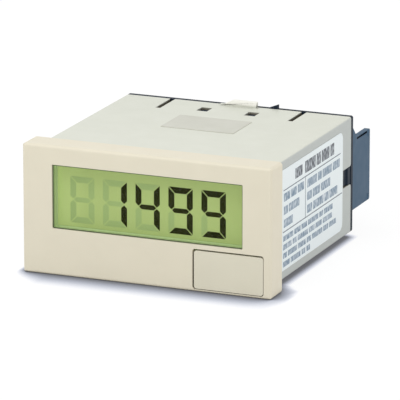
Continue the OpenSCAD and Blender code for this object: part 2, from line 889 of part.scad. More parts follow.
// Square washers under the screw heads
module clamp_washers() {
    color("#c6c8c6") for (i = [0 : terminals - 1]) translate([bay_x(i), 0, 0]) difference() {
        along_y(base_y + plate_t, screw_seat) rounded(washer_w, washer_w - washer_cut, washer_r);
        rod_y(screw_r + fit, base_y + plate_t - eps, screw_seat + eps);
    }
}

// Terminal screws with crossed slots
module terminal_screws() {
    color("#d0d2d2") for (i = [0 : terminals - 1]) translate([bay_x(i), 0, 0]) difference() {
        union() {
            rod_y(screw_r, screw_seat - screw_l, screw_seat + eps);
            rod_y(screw_head_d / 2, screw_seat, screw_seat + screw_head_h, 48);
        }
        for (turn = [0, 90])
            translate([0, screw_seat + screw_head_h, 0]) rotate([0, turn, 0])
                cube([slot_l, 2 * slot_d, slot_w], center = true);
    }
}

front_bezel();
display_window();
key_blank();
case_sleeve();
top_label();
side_label();
lcd_polarizer();
lcd_front_glass();
lcd_seal();
segments_lit();
segments_idle();
lcd_rear_glass();
lcd_reflector();
lcd_frame();
contact_strip();
display_board();
main_board();
board_header();
controller_chip();
crystal_can();
smoothing_capacitor();
chip_capacitors();
chip_resistors();
input_coupler();
battery_cell();
battery_negative_contact();
battery_positive_contact();
rear_frame();
terminal_block();
terminal_plates();
clamp_washers();
terminal_screws();
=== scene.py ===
import math

import bmesh
import bpy
import numpy as np
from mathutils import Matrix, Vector


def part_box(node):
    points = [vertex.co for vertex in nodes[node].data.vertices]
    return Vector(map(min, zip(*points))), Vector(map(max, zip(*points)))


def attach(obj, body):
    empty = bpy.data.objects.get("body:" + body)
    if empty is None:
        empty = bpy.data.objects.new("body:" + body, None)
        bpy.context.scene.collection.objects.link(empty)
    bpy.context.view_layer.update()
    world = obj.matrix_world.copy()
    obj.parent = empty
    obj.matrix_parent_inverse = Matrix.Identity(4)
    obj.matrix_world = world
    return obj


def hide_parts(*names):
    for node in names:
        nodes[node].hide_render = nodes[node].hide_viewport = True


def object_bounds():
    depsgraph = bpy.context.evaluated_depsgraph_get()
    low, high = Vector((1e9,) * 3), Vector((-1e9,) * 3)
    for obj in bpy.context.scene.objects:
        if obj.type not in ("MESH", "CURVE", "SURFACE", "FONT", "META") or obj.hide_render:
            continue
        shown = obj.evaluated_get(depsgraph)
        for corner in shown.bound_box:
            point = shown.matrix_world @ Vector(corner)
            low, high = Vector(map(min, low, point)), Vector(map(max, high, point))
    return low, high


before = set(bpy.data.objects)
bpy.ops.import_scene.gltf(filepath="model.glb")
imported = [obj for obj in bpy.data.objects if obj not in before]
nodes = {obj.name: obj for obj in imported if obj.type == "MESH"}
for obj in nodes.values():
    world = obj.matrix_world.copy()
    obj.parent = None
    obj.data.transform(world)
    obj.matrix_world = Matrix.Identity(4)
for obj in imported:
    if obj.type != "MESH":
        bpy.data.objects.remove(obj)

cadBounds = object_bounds()
scene = bpy.context.scene
mm = 0.001  # lengths below are in millimetres, and Blender's are in metres
black = (0, 0, 0, 1)
white = (1, 1, 1, 1)


def linear(red, green, blue):
    # A colour as a screen shows it, 0 to 255, as the light values that shaders take
    part = np.array([red, green, blue]) / 255
    light = np.where(part > 0.04045, ((part + 0.055) / 1.055) ** 2.4, part / 12.92)
    return (*light, 1)


def nodeBox(node):
    # A CAD piece's lowest and highest corner
    low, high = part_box(node)
    return np.array(low) / mm, np.array(high) / mm


# Camera: it stands to the right of the front and a little above it
cameraView = {
    "azimuth": 22.5023,  # degrees, from the front towards the right
    "elevation": 15.318,
    "distance": 873.59,
    "aim": (-0.0076, 20.0, -2.503),
    "focalPixels": 4793.75,  # the focal length in pixels of the picture
    "imageWidth": 400,
    "sensor": 36,
    "farClip": 10000,
}


def makeCamera(view):
    azimuth = math.radians(view["azimuth"])
    elevation = math.radians(view["elevation"])
    back = Vector((math.sin(azimuth) * math.cos(elevation),
                   -math.cos(azimuth) * math.cos(elevation), math.sin(elevation)))
    data = bpy.data.cameras.new("camera")
    data.sensor_width = view["sensor"]
    data.lens = view["focalPixels"] / view["imageWidth"] * view["sensor"]
    data.clip_end = view["farClip"] * mm
    camera = bpy.data.objects.new("camera", data)
    camera.location = (Vector(view["aim"]) + back * view["distance"]) * mm
    camera.rotation_euler = (-back).to_track_quat("-Z", "Y").to_euler()
    scene.collection.objects.link(camera)
    scene.camera = camera


# Shader nodes

def setOrLink(tree, value, socket):
    if isinstance(value, bpy.types.NodeSocket):
        tree.links.new(value, socket)
    else:
        socket.default_value = value


def combined(tree, operation, first, second):
    node = tree.nodes.new("ShaderNodeMath")
    node.operation = operation
    setOrLink(tree, first, node.inputs[0])
    setOrLink(tree, second, node.inputs[1])
    return node.outputs[0]


def combinedVectors(tree, operation, first, second):
    # A number worked out from two vectors, such as their distance
    node = tree.nodes.new("ShaderNodeVectorMath")
    node.operation = operation
    setOrLink(tree, first, node.inputs[0])
    setOrLink(tree, second, node.inputs[1])
    return node.outputs["Value"]


def coordinate(tree, kind, axis=None):
    # A point's place (Object) or facing (Normal) on its piece, or a ray's direction into the room
    # (Generated): all three numbers, or the one along an axis
    whole = tree.nodes.new("ShaderNodeTexCoord").outputs[kind]
    if axis is None:
        return whole
    parts = tree.nodes.new("ShaderNodeSeparateXYZ")
    tree.links.new(whole, parts.inputs[0])
    return parts.outputs[axis]


def spread(tree, value, low, high, start=0.3, end=0.7):
    # Carries what runs from start to end onto low to high and stops there at both ends. Noise
    # runs from about 0.3 to 0.7.
    ranged = tree.nodes.new("ShaderNodeMapRange")
    ranged.inputs["From Min"].default_value = start
    ranged.inputs["From Max"].default_value = end
    ranged.inputs["To Min"].default_value = low
    ranged.inputs["To Max"].default_value = high
    tree.links.new(value, ranged.inputs["Value"])
    return ranged.outputs[0]


def blendNumbers(tree, factor, first, second):
    # Sockets 2 and 3 of the node take its two numbers
    mix = tree.nodes.new("ShaderNodeMix")
    setOrLink(tree, factor, mix.inputs[0])
    setOrLink(tree, first, mix.inputs[2])
    setOrLink(tree, second, mix.inputs[3])
    return mix.outputs[0]


def blendColours(tree, factor, first, second):
    # Sockets 6 and 7 of the node take its two colours, and output 2 gives the blend
    mix = tree.nodes.new("ShaderNodeMix")
    mix.data_type = "RGBA"
    setOrLink(tree, factor, mix.inputs[0])
    setOrLink(tree, first, mix.inputs[6])
    setOrLink(tree, second, mix.inputs[7])
    return mix.outputs[2]


def openness(tree, reach, samples):
    # 1 where the space within reach is free, and 0 where it is filled
    node = tree.nodes.new("ShaderNodeAmbientOcclusion")
    node.samples = samples
    setOrLink(tree, reach, node.inputs["Distance"])
    return node.outputs["AO"]


def noise(tree, size, detail=2, stretch=(1, 1, 1)):
    # Noise whose spots measure about size
    mapping = tree.nodes.new("ShaderNodeMapping")
    mapping.inputs["Scale"].default_value = tuple(1 / (size * mm * part) for part in stretch)
    texture = tree.nodes.new("ShaderNodeTexNoise")
    texture.inputs["Scale"].default_value = 1
    texture.inputs["Detail"].default_value = detail
    tree.links.new(coordinate(tree, "Object"), mapping.inputs[0])
    tree.links.new(mapping.outputs[0], texture.inputs["Vector"])
    return texture.outputs["Fac"]


def bump(tree, shader, height, distance):
    node = tree.nodes.new("ShaderNodeBump")
    node.inputs["Strength"].default_value = 1
    node.inputs["Distance"].default_value = distance * mm
    tree.links.new(height, node.inputs["Height"])
    tree.links.new(node.outputs[0], shader.inputs["Normal"])


def seenDirectly(tree):
    # 1 for rays from the camera, from gloss and through glass, 0 for the rays that light things
    rays = tree.nodes.new("ShaderNodeLightPath").outputs
    gloss = combined(tree, "MAXIMUM", rays["Is Camera Ray"], rays["Is Glossy Ray"])
    return combined(tree, "MAXIMUM", gloss, rays["Is Transmission Ray"])


# Light: a room that is a little brighter above, at the right and in front, and one soft lamp
lightSettings = {
    "room": 0.8,
    "roomTilt": (0.12, -0.06, 0.12),  # how much it gains towards +X, +Y and +Z
    "lampPower": 0.066,
    "lampPlace": (-20, -108, 142),
    "lampAim": (0, 8, 2),
    "lampSize": 80,
}


def makeRoom(light):
    # Rays that are seen directly find white, and those that light things find
    # room * (1 + tilt . direction)
    world = bpy.data.worlds.new("room")
    scene.world = world
    world.use_nodes = True
    tree = world.node_tree
    tree.nodes.clear()
    lit = tree.nodes.new("ShaderNodeBackground")
    lit.inputs["Color"].default_value = white
    along = combinedVectors(tree, "DOT_PRODUCT", coordinate(tree, "Generated"), light["roomTilt"])
    level = combined(tree, "ADD", along, 1)
    tree.links.new(combined(tree, "MULTIPLY", level, light["room"]), lit.inputs["Strength"])
    shown = tree.nodes.new("ShaderNodeBackground")
    shown.inputs["Color"].default_value = white
    mix = tree.nodes.new("ShaderNodeMixShader")
    out = tree.nodes.new("ShaderNodeOutputWorld")
    tree.links.new(seenDirectly(tree), mix.inputs[0])
    tree.links.new(lit.outputs[0], mix.inputs[1])
    tree.links.new(shown.outputs[0], mix.inputs[2])
    tree.links.new(mix.outputs[0], out.inputs[0])


def makeLamp(light):
    data = bpy.data.lights.new("lamp", "AREA")
    data.shape = "DISK"
    data.energy = light["lampPower"]
    data.size = light["lampSize"] * mm
    lamp = bpy.data.objects.new("lamp", data)
    lamp.location = Vector(light["lampPlace"]) * mm
    towards = Vector(light["lampPlace"]) - Vector(light["lampAim"])
    lamp.rotation_euler = towards.to_track_quat("Z", "Y").to_euler()
    lamp.visible_camera = False
    scene.collection.objects.link(lamp)


def newMaterial(name):
    material = bpy.data.materials.new(name)
    material.use_nodes = True
    tree = material.node_tree
    tree.nodes.clear()
    out = tree.nodes.new("ShaderNodeOutputMaterial")
    shader = tree.nodes.new("ShaderNodeBsdfPrincipled")
    tree.links.new(shader.outputs[0], out.inputs[0])
    return material, tree, shader


# Floor: white, with a soft contact shadow that is mostly painted: its tones are shown in the floor's
# own glow, and a small share of them takes light. The shadow's reach is full below the front and
# shrinks over a band at the left, at the right and towards the back. Its tones run from where the
# near space is filled to where it is free. For the rays that light the object the floor is grey and
# also glows by itself, a painted light that grows with the distance from the object.
floorSettings = {
    "size": 4000,
    "shade": 0.15,  # how much of its tones takes light
    "glow": 0.88,  # how much of them it gives by itself
    "grey": 0.55,  # its colour for the rays that light the object
    "lightingGlowNear": 0.13,
    "lightingGlowFar": 0.3,
    "near": 30,
    "far": 90,
    "reach": 7.1,
    "samples": 24,
    "leftShare": 0.12,  # what is left of the reach beyond the left band
    "otherShare": 0.25,  # and beyond the other two
    "leftBand": (-26, -19),
    "rightBand": (24.5, 28),
    "backBand": (-1, 5),
    "tones": ((0, (86, 87, 92)), (0.5, (116, 117, 121)), (0.7, (176, 180, 192)),
              (0.84, (216, 219, 228)), (0.95, (246, 247, 252)), (1, (255, 255, 255))),
}


def bandShare(tree, axis, low, high, band):
    # Runs from low to high over a band of places along an axis
    return spread(tree, coordinate(tree, "Object", axis), low, high, band[0] * mm, band[1] * mm)


def contactTones(tree, settings):
    # reach = full reach * left share * the smaller of the right and back shares
    left = bandShare(tree, "X", settings["leftShare"], 1, settings["leftBand"])
    right = bandShare(tree, "X", 1, settings["otherShare"], settings["rightBand"])
    back = bandShare(tree, "Y", 1, settings["otherShare"], settings["backBand"])
    share = combined(tree, "MULTIPLY", left, combined(tree, "MINIMUM", right, back))
    reach = combined(tree, "MULTIPLY", share, settings["reach"] * mm)
    tones = tree.nodes.new("ShaderNodeValToRGB")
    tree.links.new(openness(tree, reach, settings["samples"]), tones.inputs[0])
    ramp = tones.color_ramp.elements
    for index, (place, colour) in enumerate(settings["tones"]):
        stop = ramp[index] if index < 2 else ramp.new(place)  # a new ramp has two stops
        stop.position = place
        stop.color = linear(*colour)
    return tones.outputs[0]


def makeFloor(settings):
    low = cadBounds[0][2]
    half = settings["size"] / 2 * mm
    corners = [(-half, -half, low), (half, -half, low), (half, half, low), (-half, half, low)]
    mesh = bpy.data.meshes.new("floor")
    mesh.from_pydata(corners, [], [(0, 1, 2, 3)])
    floor = bpy.data.objects.new("floor", mesh)
    scene.collection.objects.link(floor)
    material, tree, shader = newMaterial("floor_white")
    shader.inputs["Roughness"].default_value = 1
    shader.inputs["Specular IOR Level"].default_value = 0
    # Painted shadow: the contact shadow's tones, shown mostly in the floor's own glow
    tones = contactTones(tree, settings)
    seen = seenDirectly(tree)
    grey = (settings["grey"],) * 3 + (1,)
    shade = blendColours(tree, settings["shade"], black, tones)
    tree.links.new(blendColours(tree, seen, grey, shade), shader.inputs["Base Color"])
    tree.links.new(blendColours(tree, seen, white, tones), shader.inputs["Emission Color"])
    middle = ((Vector(cadBounds[0]) + Vector(cadBounds[1])) / 2)[:2] + (low,)
    away = combinedVectors(tree, "DISTANCE", coordinate(tree, "Object"), middle)
    # Painted light: for the rays that light the object the floor glows by itself, less near it
    lightingGlow = spread(tree, away, settings["lightingGlowNear"], settings["lightingGlowFar"],
                    settings["near"] * mm, settings["far"] * mm)
    tree.links.new(blendNumbers(tree, seen, lightingGlow, settings["glow"]),
                   shader.inputs["Emission Strength"])
    mesh.materials.append(material)


makeCamera(cameraView)
makeRoom(lightSettings)
makeLamp(lightSettings)
makeFloor(floorSettings)
print("stage: camera, light and floor")

# Finishes

plasticSkin = {
    "cloudSize": 6,
    "glossSize": 2.5,
    "glossSpread": 0.05,
    "turnBand": (0.5, 0.95),  # how far a wall turns sideways: 0 for none, 1 for square to X
    "riseBand": 0.3,
    "paintedShadeSamples": 8,
}


def plastic(name, colour, roughness=0.45, vary=1.5, grain=0.25, depth=0.006, gloss=0.5,
            sides=None, above=None, paintedShade=None):
    # Moulded plastic: a faint cloud in its colour and gloss, and a fine grain on its skin. sides is
    # painted light and shade: the colour painted on the walls that face left and right. above =
    # (height, colour) is painted light on what stands higher. The last argument, (colour, reach,
    # full, none), is painted shade in its slits, holes and creases, with how free the space within
    # reach is where that colour is full and where it ends.
    skin = plasticSkin
    material, tree, shader = newMaterial(name)
    dark = linear(*(part - vary for part in colour))
    light = linear(*(min(part + vary, 255) for part in colour))
    cloud = noise(tree, skin["cloudSize"], detail=3)
    shade = blendColours(tree, spread(tree, cloud, 0, 1), dark, light)
    # Painted light and shade: the walls that face left and right take another colour
    if sides:
        turned = combined(tree, "ABSOLUTE", coordinate(tree, "Normal", "X"), 0)
        side = spread(tree, turned, 0, 1, *skin["turnBand"])
        shade = blendColours(tree, side, shade, linear(*sides))
    # Painted light: what stands above the height takes a lighter colour
    if above:
        height, topColour = above
        risen = bandShare(tree, "Z", 0, 1, (height, height + skin["riseBand"]))
        shade = blendColours(tree, risen, shade, linear(*topColour))
    # Painted shade: darker where the space within reach is filled
    if paintedShade:
        paintedShadeColour, reach, full, none = paintedShade
        free = openness(tree, reach * mm, skin["paintedShadeSamples"])
        clean = spread(tree, free, 0, 1, full, none)
        shade = blendColours(tree, clean, linear(*paintedShadeColour), shade)
    tree.links.new(shade, shader.inputs["Base Color"])
    tree.links.new(spread(tree, noise(tree, skin["glossSize"]), roughness - skin["glossSpread"],
                          roughness + skin["glossSpread"]), shader.inputs["Roughness"])
    shader.inputs["Specular IOR Level"].default_value = gloss
    bump(tree, shader, noise(tree, grain, detail=1), depth)
    return material


metalSkin = {
    "worn": 0.94,  # its darkest tone, as a share of its colour
    "wearSize": 0.6,
    "smoother": 0.06,
    "rougher": 0.08,
    "grain": 0.15,
    "grainDepth": 0.003,
}


def metal(name, colour, roughness):
    # Bare metal with fine wear in its colour and gloss
    skin = metalSkin
    material, tree, shader = newMaterial(name)
    worn = linear(*(part * skin["worn"] for part in colour))
    wear = noise(tree, skin["wearSize"], detail=3)
    tree.links.new(blendColours(tree, spread(tree, wear, 0, 1), worn, linear(*colour)),
                   shader.inputs["Base Color"])
    shader.inputs["Metallic"].default_value = 1
    tree.links.new(spread(tree, wear, roughness - skin["smoother"], roughness + skin["rougher"]),
                   shader.inputs["Roughness"])
    bump(tree, shader, noise(tree, skin["grain"], detail=1), skin["grainDepth"])
    return material


def clear(name, colour, alpha, roughness):
    # Clear sheet: a lone shader with plain values
    material, tree, shader = newMaterial(name)
    shader.inputs["Base Color"].default_value = linear(*colour)
    shader.inputs["Roughness"].default_value = roughness
    shader.inputs["Alpha"].default_value = alpha
    return material


def cast(obj, *materials):
    obj.data.materials.clear()
    for material in materials:
        obj.data.materials.append(material)


def dress(finish, looks):
    # One material for each look, on all the nodes that wear it
    for name, (wearers, look) in looks.items():
        material = finish(name, **look)
        for wearer in wearers:
            cast(nodes[wearer], material)


# Pieces

sharpAngle = 30  # degrees: an edge whose faces meet at more doesn't shade smooth


def addPiece(name, mesh, replaced, materials):
    piece = bpy.data.objects.new(name, mesh)
    scene.collection.objects.link(piece)
    cast(piece, *materials)
    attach(piece, "root")
    if replaced:
        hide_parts(*replaced)
    return piece


def addSkin(name, vertices, faces, replaced, materials):
    mesh = bpy.data.meshes.new(name)
    mesh.from_pydata((vertices.reshape(-1, 3) * mm).tolist(), [], faces)
    mesh.polygons.foreach_set("use_smooth", np.ones(len(mesh.polygons), bool))
    mesh.set_sharp_from_angle(angle=math.radians(sharpAngle))
    return addPiece(name, mesh, replaced, materials)


# Shells: merged copies of the moulded pieces, with the small roundings that a mould leaves
shellSettings = {
    "weldStep": 1e-4,
    "flatAngle": 0.5,  # degrees: faces that meet at less become one
    "segments": 2,
    "largeFaceWeight": 100,
}


def readRows(items, key, kind=float):
    # One property of many items, such as the vertices' places, as rows of three
    values = np.empty(len(items) * 3, kind)
    items.foreach_get(key, values)
    return values.reshape(-1, 3)


def weldedMesh(name, node):
    # Corners that share a place become one vertex, and faces without area go
    source = nodes[node].data
    source.calc_loop_triangles()
    places = readRows(source.vertices, "co")
    corners = readRows(source.loop_triangles, "vertices", int)
    keys = np.round(places / (shellSettings["weldStep"] * mm)).astype(np.int64)
    _, first, inverse = np.unique(keys, axis=0, return_index=True, return_inverse=True)
    triangles = inverse.reshape(-1)[corners]
    whole = (triangles != np.roll(triangles, 1, axis=1)).all(axis=1)
    mesh = bpy.data.meshes.new(name)
    mesh.from_pydata(places[first].tolist(), [], triangles[whole].tolist())
    return mesh


def openingBox(wall, filler, margin):
    # The box round an opening in a wall that another piece fills, through the wall's whole depth
    low, high = nodeBox(filler)
    wallLow, wallHigh = nodeBox(wall)
    low[1], high[1] = wallLow[1], wallHigh[1]
    return low - margin, high + margin


def softened(name, node, material, rounding, crispBox=None):
    # Edges whose faces meet at more than sharpAngle are rounded, but for those in crispBox
    settings = shellSettings
    mesh = weldedMesh(name, node)
    work = bmesh.new()
    work.from_mesh(mesh)
    bmesh.ops.dissolve_limit(work, angle_limit=math.radians(settings["flatAngle"]),
                             use_dissolve_boundaries=False, verts=work.verts, edges=work.edges)
    for face in work.faces:
        face.smooth = True
    turns = np.array([edge.calc_face_angle(0) for edge in work.edges])
    middles = np.array([(edge.verts[0].co + edge.verts[1].co) / 2 for edge in work.edges]) / mm
    work.to_mesh(mesh)
    work.free()
    rounded = turns > math.radians(sharpAngle)
    if crispBox:
        rounded &= ~((middles > crispBox[0]) & (middles < crispBox[1])).all(axis=1)
    weights = mesh.attributes.new("bevel_weight_edge", "FLOAT", "EDGE")
    weights.data.foreach_set("value", rounded.astype(float))
    mesh.set_sharp_from_angle(angle=math.radians(sharpAngle))
    piece = addPiece(name, mesh, [node], [material])
    bevel = piece.modifiers.new("edges", "BEVEL")
    bevel.width = rounding * mm
    bevel.segments = settings["segments"]
    bevel.limit_method = "WEIGHT"
    bevel.use_clamp_overlap = False
    normals = piece.modifiers.new("flat faces", "WEIGHTED_NORMAL")  # large faces shade flat
    normals.keep_sharp = True
    normals.weight = settings["largeFaceWeight"]


bezelSettings = {
    "rounding": 0.05,
    "crispMargin": 0.3,  # how far round the key blank the edges of its opening stay crisp
    # Painted light on its side walls, and painted shade in its openings and creases
    "look": {"colour": (228, 221, 200), "sides": (236, 228, 206),
             "paintedShade": ((66, 56, 42), 0.6, 0.15, 0.5)},
}
softened("bezel", "front_bezel", plastic("bezel_cream", **bezelSettings["look"]),
         bezelSettings["rounding"],
         openingBox("front_bezel", "key_blank", bezelSettings["crispMargin"]))

blankSettings = {
    "rounding": 0.03,
    "look": {"colour": (222, 217, 197)},
}
softened("blank", "key_blank", plastic("blank_cream", **blankSettings["look"]),
         blankSettings["rounding"])

caseSettings = {
    "rounding": 0.1,
    # Painted shade on its side walls, painted light on what stands above its top, and painted shade
    # in its slits and holes
    "look": {"colour": (219, 221, 208), "sides": (194, 199, 195), "above": (11.25, (248, 247, 238)),
             "paintedShade": ((104, 96, 80), 2, 0.4, 0.85)},
}
softened("case", "case_sleeve", plastic("case_cream", **caseSettings["look"]),
         caseSettings["rounding"])

rearSettings = {
    "rounding": 0.08,
    "look": {"colour": (24, 38, 52), "roughness": 0.5, "gloss": 0.15},
}
softened("rear_shell", "rear_frame", plastic("frame_slate", **rearSettings["look"]),
         rearSettings["rounding"])

blockSettings = {
    "rounding": 0.05,
    # Painted shade in its grooves and hollows
    "look": {"colour": (72, 98, 121), "roughness": 0.5, "gloss": 0.15,
             "paintedShade": ((14, 28, 44), 2, 0.4, 0.85)},
}
softened("block", "terminal_block", plastic("block_slate", **blockSettings["look"]),
         blockSettings["rounding"])
print("stage: moulded shells")

# Surfaces: rings of points carried through a row of places and joined into a skin

smallestRadius = 0.02


def ring(width, height, radius, centre, steps):
    # Round a rectangle with round corners, as (x, z): four quarter circles and the sides between
    angle = (np.linspace(0, np.pi / 2, steps + 1) + np.arange(4)[:, None] * np.pi / 2).ravel()
    corner = np.array([[1, 1], [-1, 1], [-1, -1], [1, -1]]).repeat(steps + 1, axis=0)
    half = np.array([width, height]) / 2 - radius
    return centre + corner * half + radius * np.stack([np.cos(angle), np.sin(angle)], 1)


def ringsAlongY(width, height, radius, centre, profile, steps):
    # The outline drawn in by inset at each depth y of the profile, which runs from front to back
    rows = []
    for inset, y in profile:
        outline = ring(width - 2 * inset, height - 2 * inset, max(radius - inset, smallestRadius),
                       centre, steps)
        rows.append(np.stack([outline[:, 0], np.full(len(outline), y), outline[:, 1]], 1))
    return np.array(rows)


def closedSkin(rings):
    # Four-sided faces between each ring and the next, and a flat cap on the first and on the last.
    # Point j of ring i has the number i * columns + j.
    rows, columns = rings.shape[:2]
    i, j = np.meshgrid(np.arange(rows - 1), np.arange(columns), indexing="ij")
    k = (j + 1) % columns
    sides = np.stack([i * columns + j, (i + 1) * columns + j, (i + 1) * columns + k,
                      i * columns + k], -1).reshape(-1, 4)
    cap = np.arange(columns)
    return sides.tolist() + [cap.tolist(), (cap + (rows - 1) * columns)[::-1].tolist()]


def quarterRound(radius, y, steps=4):
    # A rounded front edge as (inset, depth) steps: a quarter circle from the face to the side
    turn = np.linspace(0, np.pi / 2, steps + 1)
    return [(radius * (1 - math.sin(a)), y + radius * (1 - math.cos(a))) for a in turn]


# Window: a clear pane whose edges carry a painted reflection of the display, green and glowing
paneSettings = {
    "lap": 0.85,  # how far the flange stands out
    "flangeDepth": 0.7,
    "cornerRadius": 0.15,
    "cornerSteps": 8,
    "edgeRound": 0.1,
    "colour": (60, 70, 52),
    "alpha": 0.05,
    "roughness": 0.08,
    # The edge's painted shade at its front, its painted reflection deeper in, and its painted glow
    "edgeFront": (104, 120, 88),
    "edgeDeep": (184, 206, 146),
    "edgeGlow": 0.22,
    "edgeRoughness": 0.5,
    "edgeGloss": 0.1,
}


def edgeMaterial(settings, front, deep):
    # The pane's edge: painted shade, dark at its front where it meets the bezel, and a painted
    # reflection of the display, lighter towards it, that glows
    material, tree, shader = newMaterial("window_edge")
    depth = bandShare(tree, "Y", 0, 1, (front, deep))
    shade = blendColours(tree, depth, linear(*settings["edgeFront"]), linear(*settings["edgeDeep"]))
    tree.links.new(shade, shader.inputs["Base Color"])
    tree.links.new(shade, shader.inputs["Emission Color"])
    shader.inputs["Roughness"].default_value = settings["edgeRoughness"]
    shader.inputs["Specular IOR Level"].default_value = settings["edgeGloss"]
    shader.inputs["Emission Strength"].default_value = settings["edgeGlow"]
    return material


def makePane(settings):
    # A round-cornered outline carried back from the pane's face to the rear of its flange
    low, high = nodeBox("display_window")
    lap = settings["lap"]
    wallBack = high[1] - settings["flangeDepth"]
    centre = (low + high)[[0, 2]] / 2
    width, height = (high - low)[[0, 2]] - 2 * lap
    profile = quarterRound(settings["edgeRound"], low[1])
    profile += [(0, wallBack), (-lap, wallBack), (-lap, high[1]), (0, high[1])]
    rings = ringsAlongY(width, height, settings["cornerRadius"], centre, profile,
                        settings["cornerSteps"])
    materials = [clear("window_clear", settings["colour"], settings["alpha"], settings["roughness"]),
                 edgeMaterial(settings, low[1], wallBack)]
    pane = addSkin("pane", rings, closedSkin(rings), ["display_window"], materials)
    isEdge = np.ones(len(pane.data.polygons), np.int32)
    isEdge[-2:] = 0  # the caps are clear
    pane.data.polygons.foreach_set("material_index", isEdge)


makePane(paneSettings)
print("stage: window")

# Display: film, front glass and liquid crystal are one clear body whose rear face is the green
# ground that the reflector gives, and the strokes lie on that ground
displaySettings = {
    "glassColour": (60, 70, 45),
    "glassAlpha": 0.03,
    "glassRoughness": 0.1,
    "cornerRadius": 0.05,
    "green": (153, 170, 107),
    # painted light: the ground's lighter colour at its left
    "greenLeftPaintedLight": (167, 185, 118),
    "leftBand": (-18.3, -13),
    "lit": (46, 48, 18),
    "idle": (138, 158, 102),
    "ledge": (120, 146, 92),
    # painted light: the glow of the ground and the idle strokes, and next that of the ledge
    "glow": 0.65,
    "ledgeGlow": 0.325,
    "groundLift": 0.02,  # how far the ground lies in front of the layers' rear
    "strokeDepth": 0.004,
    "strokeSpread": 0.03,
    "leastOutward": 1e-6,  # so that a corner that faces straight forward stays in its place
    "skin": {"roughness": 0.6, "vary": 1, "grain": 0.5, "depth": 0.0005, "gloss": 0},
}
cellLayers = ["lcd_polarizer", "lcd_front_glass", "lcd_seal"]  # from front to back


def matt(name, colour, glow=0):
    # A matt layer inside the display; glow is painted light, the layer shining in its own colour
    # though it is no lamp
    material = plastic(name, colour, **displaySettings["skin"])
    shader = material.node_tree.nodes["Principled BSDF"]
    shader.inputs["Emission Color"].default_value = linear(*colour)
    shader.inputs["Emission Strength"].default_value = glow
    return material


def groundMaterial(settings):
    # Painted light: the green ground grows lighter towards the left, against the shade that the
    # window's recess throws there
    material = matt("cell_green", settings["green"], settings["glow"])
    tree = material.node_tree
    shader = tree.nodes["Principled BSDF"]
    leftwards = bandShare(tree, "X", 1, 0, settings["leftBand"])
    shade = blendColours(tree, leftwards, linear(*settings["green"]), linear(*settings["greenLeftPaintedLight"]))
    tree.links.new(shade, shader.inputs["Base Color"])
    tree.links.new(shade, shader.inputs["Emission Color"])
    return material


def makeCellFront(settings):
    # Each layer's outline carried back from its front to its rear, one after the other
    rows = []
    for node in cellLayers:
        low, high = nodeBox(node)
        width, height = (high - low)[[0, 2]]
        rows.append(ringsAlongY(width, height, settings["cornerRadius"], (low + high)[[0, 2]] / 2,
                                [(0, low[1]), (0, high[1])], steps=1))
    rings = np.concatenate(rows)
    rings[-1, :, 1] -= settings["groundLift"]
    materials = [clear("cell_glass", settings["glassColour"], settings["glassAlpha"],
                       settings["glassRoughness"]),
                 groundMaterial(settings),
                 matt("cell_ledge", settings["ledge"], settings["ledgeGlow"])]
    front = addSkin("cell_front", rings, closedSkin(rings), cellLayers, materials)
    kinds = np.zeros(len(front.data.polygons), np.int32)
    kinds[3 * rings.shape[1]:5 * rings.shape[1]] = 2  # the glass's ledge and the seal's sides
    kinds[-1] = 1  # the rear cap is the ground
    front.data.polygons.foreach_set("material_index", kinds)


def makeStrokes(name, node, material, settings):
    # The strokes as a thin film on the green ground, each a little wider than its solid:
    # place + spread * outward, and then y = ground - (rear - y) * depth / thickness
    low, high = nodeBox(node)
    mesh = weldedMesh(name, node)
    places = readRows(mesh.vertices, "co")
    outward = readRows(mesh.vertex_normals, "vector") * (1, 0, 1)
    length = np.linalg.norm(outward, axis=1, keepdims=True)
    outward /= length.clip(settings["leastOutward"])
    places += outward * settings["strokeSpread"] * mm
    part = (high[1] * mm - places[:, 1]) / ((high[1] - low[1]) * mm)
    places[:, 1] = (high[1] - settings["groundLift"] - part * settings["strokeDepth"]) * mm
    mesh.vertices.foreach_set("co", places.ravel())
    addPiece(name, mesh, [node], [material])


makeCellFront(displaySettings)
for name in ("lcd_rear_glass", "lcd_reflector"):
    cast(nodes[name], matt(name + "_look", displaySettings["green"]))
makeStrokes("strokes_lit", "segments_lit",
            matt("segment_dark", displaySettings["lit"]), displaySettings)
makeStrokes("strokes_idle", "segments_idle",
            matt("segment_pale", displaySettings["idle"], displaySettings["glow"]), displaySettings)
print("stage: display")

labelLooks = {
    "white_label": (["side_label"], {"colour": (245, 253, 255), "roughness": 0.35, "vary": 1,
                                     "grain": 0.5, "depth": 0.002, "gloss": 0.3}),
    "grey_label": (["top_label"], {"colour": (203, 203, 190), "roughness": 0.35, "vary": 2,
                                   "grain": 0.5, "depth": 0.002, "gloss": 0.3}),
}

